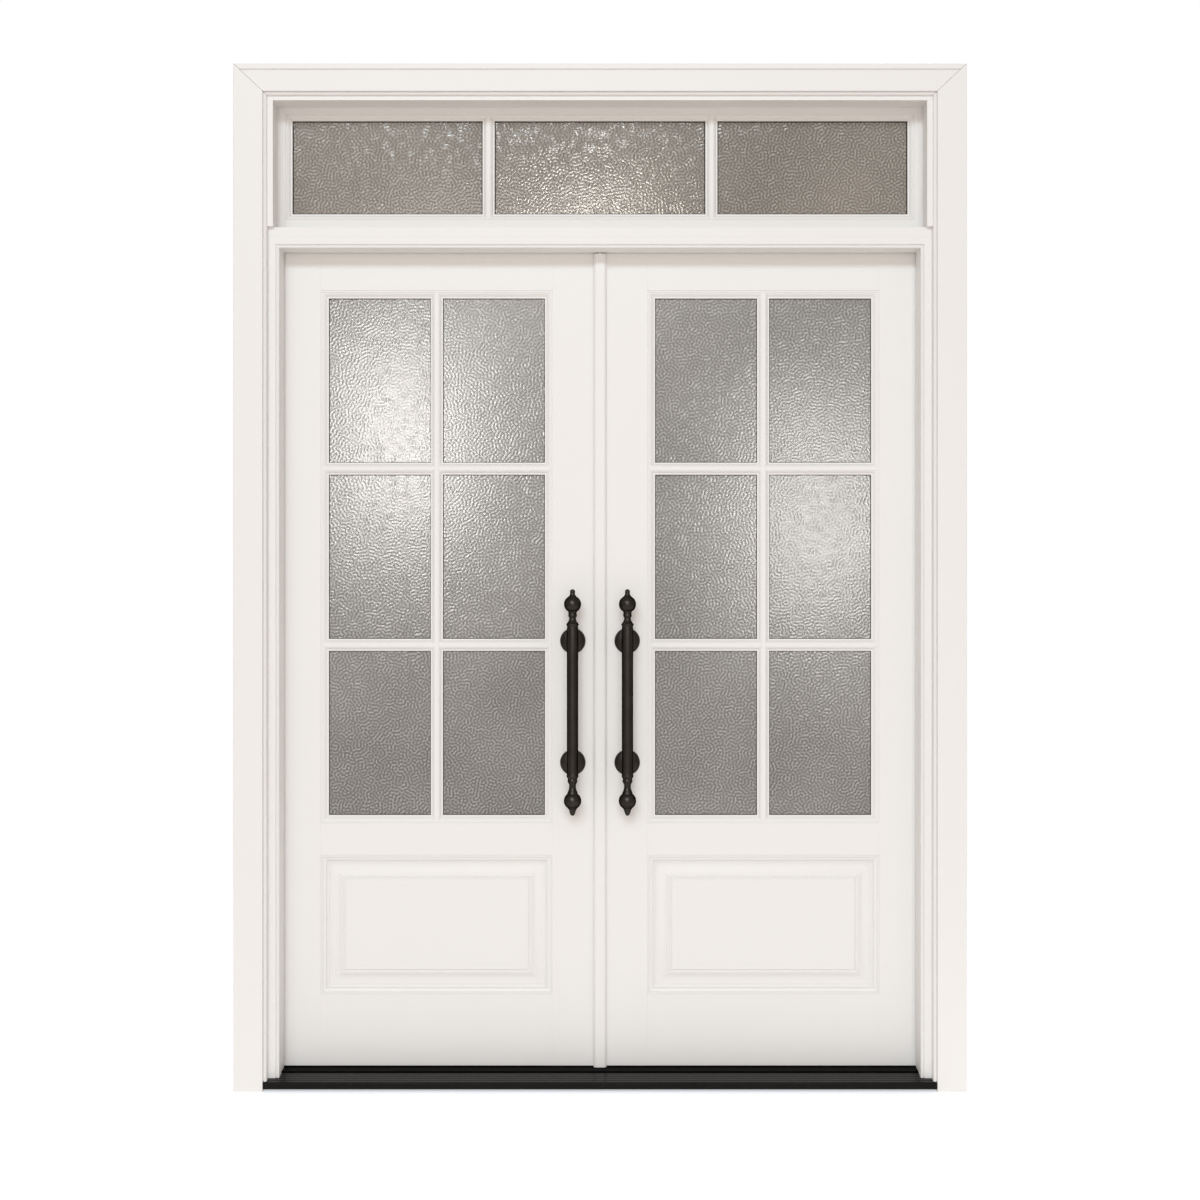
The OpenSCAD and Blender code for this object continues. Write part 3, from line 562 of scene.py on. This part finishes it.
# %% [markdown]
# # Turned pieces
# The pulls were turned on a lathe, and so are their surfaces here: a smooth outline, then one
# turn about the axis. The outline is a list of a few radii, joined by a Catmull-Rom curve, which
# passes through every one of them without a corner.

# %% A smooth outline and a lathe
def smooth(knots, per_span=6):
    """A curve through the knots. On each span it is the cubic whose slopes at the two ends are
    those of the chords between the neighbours, measured by the length along the knots."""
    k = np.asarray(knots, float)
    along = np.concatenate([[0], np.cumsum(np.linalg.norm(np.diff(k, axis=0), axis=1))])
    slope = np.gradient(k, along, axis=0)
    span = np.diff(along)[:, None]
    t = np.linspace(0, 1, per_span, endpoint=False)[:, None, None]
    a, b, m, n = k[:-1], k[1:], slope[:-1] * span, slope[1:] * span
    curve = ((1 + 2 * t) * (1 - t) ** 2 * a + t * (1 - t) ** 2 * m + t * t * (3 - 2 * t) * b
             + t * t * (t - 1) * n)
    return np.vstack([curve.transpose(1, 0, 2).reshape(-1, 2), k[-1:]])


def turned(outline, centre, along="z", sides=64):
    """Points and faces of a lathe turning: centre + height along the axis + radius times
    (cos a, sin a) across it. The outline's rows are (radius, height), its ends are capped."""
    radius, height = np.asarray(outline).T
    angle = np.arange(sides) * 2 * math.pi / sides
    across = radius[:, None] * np.cos(angle), radius[:, None] * np.sin(angle)
    rise = np.broadcast_to(height[:, None], across[0].shape)
    order = {"z": (across[0], across[1], rise), "y": (across[1], rise, across[0])}[along]
    points = np.stack(order, axis=-1).reshape(-1, 3) + np.asarray(centre)
    rows = len(radius)
    caps = [np.arange(sides)[::-1], (rows - 1) * sides + np.arange(sides)]
    return points, sheet_faces(rows, sides, wrap=True), caps


def joined(name, shapes):
    """One mesh from a list of points, faces and caps."""
    points, quads, caps, first = [], [], [], 0
    for some, faces, ends in shapes:
        points.append(some)
        quads.append(faces + first)
        caps += [end + first for end in ends]
        first += len(some)
    return add_mesh(name, np.vstack(points), np.vstack(quads), caps)


print("the lathe is ready")

# %% [markdown]
# # The pulls
# A straight grip runs between two finials: a collar, a waisted neck with a ring, a ball and a
# small tip. Both finials are listed from the bar outwards, in millimetres, and the lower one is
# a little different from the upper one, as on the real casting.

# %% Pulls
UPPER = [(14, 183), (13.9, 185.2), (13.3, 187), (14.4, 190), (15.4, 193.2), (13.6, 196),
         (11.4, 199), (9.3, 203), (8.3, 207), (8.6, 210.5), (10.2, 212.6), (10.7, 215),
         (10.3, 217.5), (10.9, 224.6), (15.2, 228), (18.9, 233.2), (20.9, 239.6), (21.1, 242.7),
         (20.7, 247), (18.6, 252.6), (14.8, 257.7), (11.2, 260.6), (8.8, 262.8), (7, 265.2),
         (6.1, 268), (6, 271), (6.2, 274), (5.2, 277), (3, 278.9), (0.5, 279.6)]
LOWER = [(14, 172), (14.1, 176), (14.5, 179.5), (13.9, 182.8), (11.2, 187.4), (12.3, 191),
         (12.2, 193), (10.4, 196.6), (8.7, 200.4), (8.3, 204.5), (8.6, 209.5), (10, 214.7),
         (12.1, 219.4), (13.3, 223.6), (17, 227.3), (19.9, 232.4), (21.3, 237.6), (21.5, 241),
         (20.9, 245.8), (18.8, 251), (15.4, 255.6), (11.4, 259.2), (9.8, 261.5), (8.5, 264),
         (7.6, 266.5), (6.9, 268.7), (6.4, 271), (5.3, 273.7), (3.3, 276.2), (0.5, 277.5)]
PULL = {"x": 0.0675, "y": 0.020, "z": 0.937, "reach": 0.151, "face": 0.072, "back": 0.1165}
MM = 0.001


def pull_outline():
    """From the tip of the lower finial up to the tip of the upper one, as (radius, height)."""
    lower = [(radius, -height) for radius, height in reversed(LOWER)]
    return smooth(lower + [(14, -100), (14, 0), (14, 100)] + UPPER, 5) * MM


def post_outline():
    """A rose with a stepped rim and a dome, then the stem, as (radius, distance from the leaf)."""
    knots = [(30.9, 0.0), (31.5, 0.8), (31.5, 2.2), (30.8, 3.0), (29.2, 3.1), (28.6, 3.9),
             (26, 5.5), (21.6, 7.4), (16.5, 8.8), (12.6, 9.9), (10, 11.9), (8.6, 14.5),
             (8, 18), (8, 30), (8, 46)]
    return smooth([(0.5, 0.0)] + knots, 4) * MM


def cap_outline():
    """The head of a through bolt on the inner face, domed."""
    return smooth([(0.4, 0), (8.6, 0), (9, 0.5), (9, 2.2), (8.4, 3.6), (6.5, 4.8), (3.5, 5.7),
                   (0.4, 6)], 4) * MM


for side, sign in (("left", -1), ("right", 1)):
    x = sign * PULL["x"]
    grip = joined(f"{side}_pull_turned", [turned(pull_outline(), (x, PULL["y"], PULL["z"]))])
    stand_in(grip, f"{side}_pull", FINISHES["black_metal"])
    heights = (PULL["z"] - PULL["reach"], PULL["z"] + PULL["reach"])
    out = post_outline() * (1, -1)
    posts = joined(f"{side}_pull_posts_turned",
                   [turned(out[::-1], (x, PULL["face"], z), "y") for z in heights])
    stand_in(posts, f"{side}_pull_posts", FINISHES["black_metal"])
    caps = joined(f"{side}_pull_bolts_turned",
                  [turned(cap_outline(), (x, PULL["back"], z), "y", 48)
                   for z in heights])
    stand_in(caps, f"{side}_pull_bolts", FINISHES["black_metal"])
    print(f"{side} pull: {len(grip.data.polygons)} faces in the bar")

# %% [markdown]
# # Screws
# Hinges and bolt plates are held by countersunk screws. Only their heads show, so each is a
# slightly domed disc with a cross sunk into it. The cross is one formula over the disc: two
# bars of a smooth step, the deeper of the two winning.

# %% Screw heads
HEAD = {"dome": 0.00035, "sunk": 0.0012}
CROSS = {"depth": 0.0011, "soft": 0.0006, "width": 1.6, "length": 4.2}


def arm_of(across, along):
    """1 inside one arm of the cross and 0 outside, with a soft edge. Both distances are from
    the screw's centre, and the arm's width and length are in units of the soft edge."""
    return (np.clip(CROSS["width"] - across / CROSS["soft"], 0, 1)
            * np.clip(CROSS["length"] - along / CROSS["soft"], 0, 1))


def screw(centre, facing, spin, radius=0.0042, rings=11, sides=40):
    """A screw head at centre that looks along x, in the way that facing says (1 or -1). Its
    height is dome * (1 - (r / R)^2) less the depth of the cross where the point is near one of
    the cross's two arms."""
    r = np.linspace(0.02, 1, rings)[:, None] * radius
    a = np.arange(sides) * 2 * math.pi / sides
    u, v = r * np.cos(a), r * np.sin(a)
    c, s = math.cos(spin), math.sin(spin)
    p, q = np.abs(c * u + s * v), np.abs(c * v - s * u)
    arm = np.maximum(arm_of(p, q), arm_of(q, p))
    height = HEAD["dome"] * (1 - (r / radius) ** 2) - CROSS["depth"] * arm
    points = np.stack([centre[0] + facing * height, centre[1] + u, centre[2] + v], axis=-1)
    rim = np.stack([np.full(sides, centre[0] - facing * HEAD["sunk"]), centre[1] + u[-1],
                    centre[2] + v[-1]], axis=-1)
    points = np.vstack([points.reshape(-1, 3), rim])
    quads = sheet_faces(rings + 1, sides, wrap=True)
    caps = [np.arange(sides)[::-1], rings * sides + np.arange(sides)]
    if facing < 0:
        return points, quads, caps
    return points, quads[:, ::-1], [cap[::-1] for cap in caps]


HINGE_ZS = (0.3125, 1.0485, 1.8845)
PLATE_SCREWS = [(-0.038, 0.1065), (-0.0127, 0.0925), (0.0127, 0.1065), (0.038, 0.0925)]
JAMB_PLATE_X = 0.8005
DOOR_PLATE_X = 0.7975
BOLT_PLATE = {"x": 0.0015, "y": 0.09425, "zs": (0.197, 1.900), "reach": 0.063}


def hinge_screws(name, node, x, facing):
    """Four screws in a zigzag on each plate of a node of hinges, each turned its own way."""
    shapes = []
    for z in HINGE_ZS:
        for dz, y in PLATE_SCREWS:
            spin = math.fmod(31 * (z + dz) + 7 * y, 1.5)
            shapes.append(screw((x, y, z + dz), facing, spin))
    piece = joined(name, shapes)
    piece.data.materials.append(FINISHES["hinge_steel"])
    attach(piece, BODY_OF[node])
    return piece


for side, sign in (("left", -1), ("right", 1)):
    hinge_screws(f"{side}_jamb_hinge_screws", f"{side}_jamb_hinges", sign * JAMB_PLATE_X, -sign)
    hinge_screws(f"{side}_door_hinge_screws", f"{side}_door_hinges", sign * DOOR_PLATE_X, sign)
shapes = [screw((BOLT_PLATE["x"], BOLT_PLATE["y"], z + dz), -1, 0.9 * z, 0.0036)
          for z in BOLT_PLATE["zs"] for dz in (-BOLT_PLATE["reach"], BOLT_PLATE["reach"])]
bolt_screws = joined("flush_bolt_screws", shapes)
bolt_screws.data.materials.append(FINISHES["hinge_steel"])
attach(bolt_screws, BODY_OF["flush_bolt_plates"])
print("screws in the hinges and the bolt plates")

# %% [markdown]
# # The rest
# Seals, extrusions and hinges are right as they are, apart from their knife edges, so they get
# the same softening as the boards: wide and round on rubber, narrow on metal.

# %% Finishes for the remaining solids
ROUNDING = {"seal": 0.0011, "dark_bronze": 0.0005, "hinge_steel": 0.00035, "sill_core": 0.0003}
turned_already = {f"{side}_pull{part}" for side in ("left", "right")
                  for part in ("", "_posts", "_bolts")}
for node in SOLIDS:
    slot = SLOT_OF[node]
    if slot in FINISHES and node not in turned_already:
        # The threshold cap takes the finish darkened with painted shade.
        material = CAP_BLACK_PAINTED_SHADE if node == "threshold_cap" else FINISHES[slot]
        stand_in(soften(merged(node, node + "_finished"), ROUNDING[slot]), node, material)
print("all solids are finished")

# %% [markdown]
# # Floor, light and camera
# The floor is plain and pale. A broad panel over the front gives the soft shadow under each
# rail, and a few smaller lamps behind the camera put the blooms on the glass. One more stands
# high behind the doors, out of line with the glass, for the views of the inner face.

# %% Studio
def lamp(name, place, target, size, power, colour):
    """A soft oval lamp at place that faces target, so wide and so high."""
    light = bpy.data.lights.new(name, "AREA")
    light.shape, light.size, light.size_y = "ELLIPSE", *size
    light.energy, light.color = power, colour
    holder = bpy.data.objects.new(name, light)
    bpy.context.scene.collection.objects.link(holder)
    aim = Vector(target) - Vector(place)
    holder.location = place
    holder.rotation_euler = aim.to_track_quat("-Z", "Y").to_euler()
    holder.visible_camera = False


FLOOR_HALF = 40.0
floor_mesh = bpy.data.meshes.new("floor")
floor_corners = [(x * FLOOR_HALF, y * FLOOR_HALF, cad_box[0][2])
                 for x, y in ((-1, -1), (1, -1), (1, 1), (-1, 1))]
floor_mesh.from_pydata(floor_corners, [], [(0, 1, 2, 3)])
floor = bpy.data.objects.new("floor", floor_mesh)
bpy.context.scene.collection.objects.link(floor)
floor_finish = Finish("floor_paper")
distance = floor_finish.node("ShaderNodeVectorMath", {"operation": "LENGTH"},
                             {0: floor_finish.place}, out="Value")
seen = floor_finish.node("ShaderNodeLightPath", out="Is Camera Ray")
floor_mesh.materials.append(floor_finish.shade(
    Base_Color=(0.88, 0.87, 0.86, 1), Roughness=0.9,
    Emission_Color=floor_finish.blend((0.23, 0.22, 0.205), (0.39, 0.43, 0.475), seen),
    Emission_Strength=1.0, Alpha=(1.9 - distance * 0.5).clipped()))

ROOM_LIGHT = 0.55
world = bpy.data.worlds.new("studio")
world.use_nodes = True
tree = world.node_tree
room = tree.nodes["Background"]
room.inputs["Color"].default_value = (1, 0.865, 0.76, 1)
room.inputs["Strength"].default_value = ROOM_LIGHT
paper = tree.nodes.new("ShaderNodeBackground")
paper.inputs["Color"].default_value = (1, 1, 1, 1)
sight = tree.nodes.new("ShaderNodeLightPath")
either = tree.nodes.new("ShaderNodeMixShader")
tree.links.new(sight.outputs["Is Camera Ray"], either.inputs[0])
tree.links.new(room.outputs[0], either.inputs[1])
tree.links.new(paper.outputs[0], either.inputs[2])
tree.links.new(either.outputs[0], tree.nodes["World Output"].inputs["Surface"])
bpy.context.scene.world = world

lamp("over_front", (-1.3, -12, 7.7), (0, 0, 1.2), (9.0, 2.6), 700, (0.785, 0.92, 1.0))
lamp("bloom_left", (-1.14, -6.0, 2.02), (-0.4, 0, 1.5), (0.45, 1.4), 28, (1, 0.975, 0.94))
lamp("bloom_top", (0, -6.0, 3.18), (0, 0, 1.5), (0.4, 0.3), 4.5, (1, 0.93, 0.86))
lamp("bloom_top_left", (-0.62, -6, 3.16), (-0.27, 0, 2.3), (1.5, 0.34), 3.2, (1, 0.96, 0.92))
lamp("bloom_right", (1.256, -6.0, 1.6), (0.3, 0, 1.5), (0.5, 1.3), 20, (1, 0.985, 0.96))
lamp("fill_behind", (3.5, 8, 7.5), (0, 0, 1.2), (5.0, 2.6), 380, (0.88, 0.95, 1.0))

# %% Camera
camera_data = bpy.data.cameras.new("camera")
camera_data.sensor_width, camera_data.lens = 36.0, 57.0
camera_data.shift_y = -0.0208
camera = bpy.data.objects.new("camera", camera_data)
camera.location = (0, -4.65, 1.2514)
camera.rotation_euler = (math.radians(90), 0, 0)
bpy.context.scene.collection.objects.link(camera)
bpy.context.scene.camera = camera
bpy.context.scene.view_settings.view_transform = "Standard"
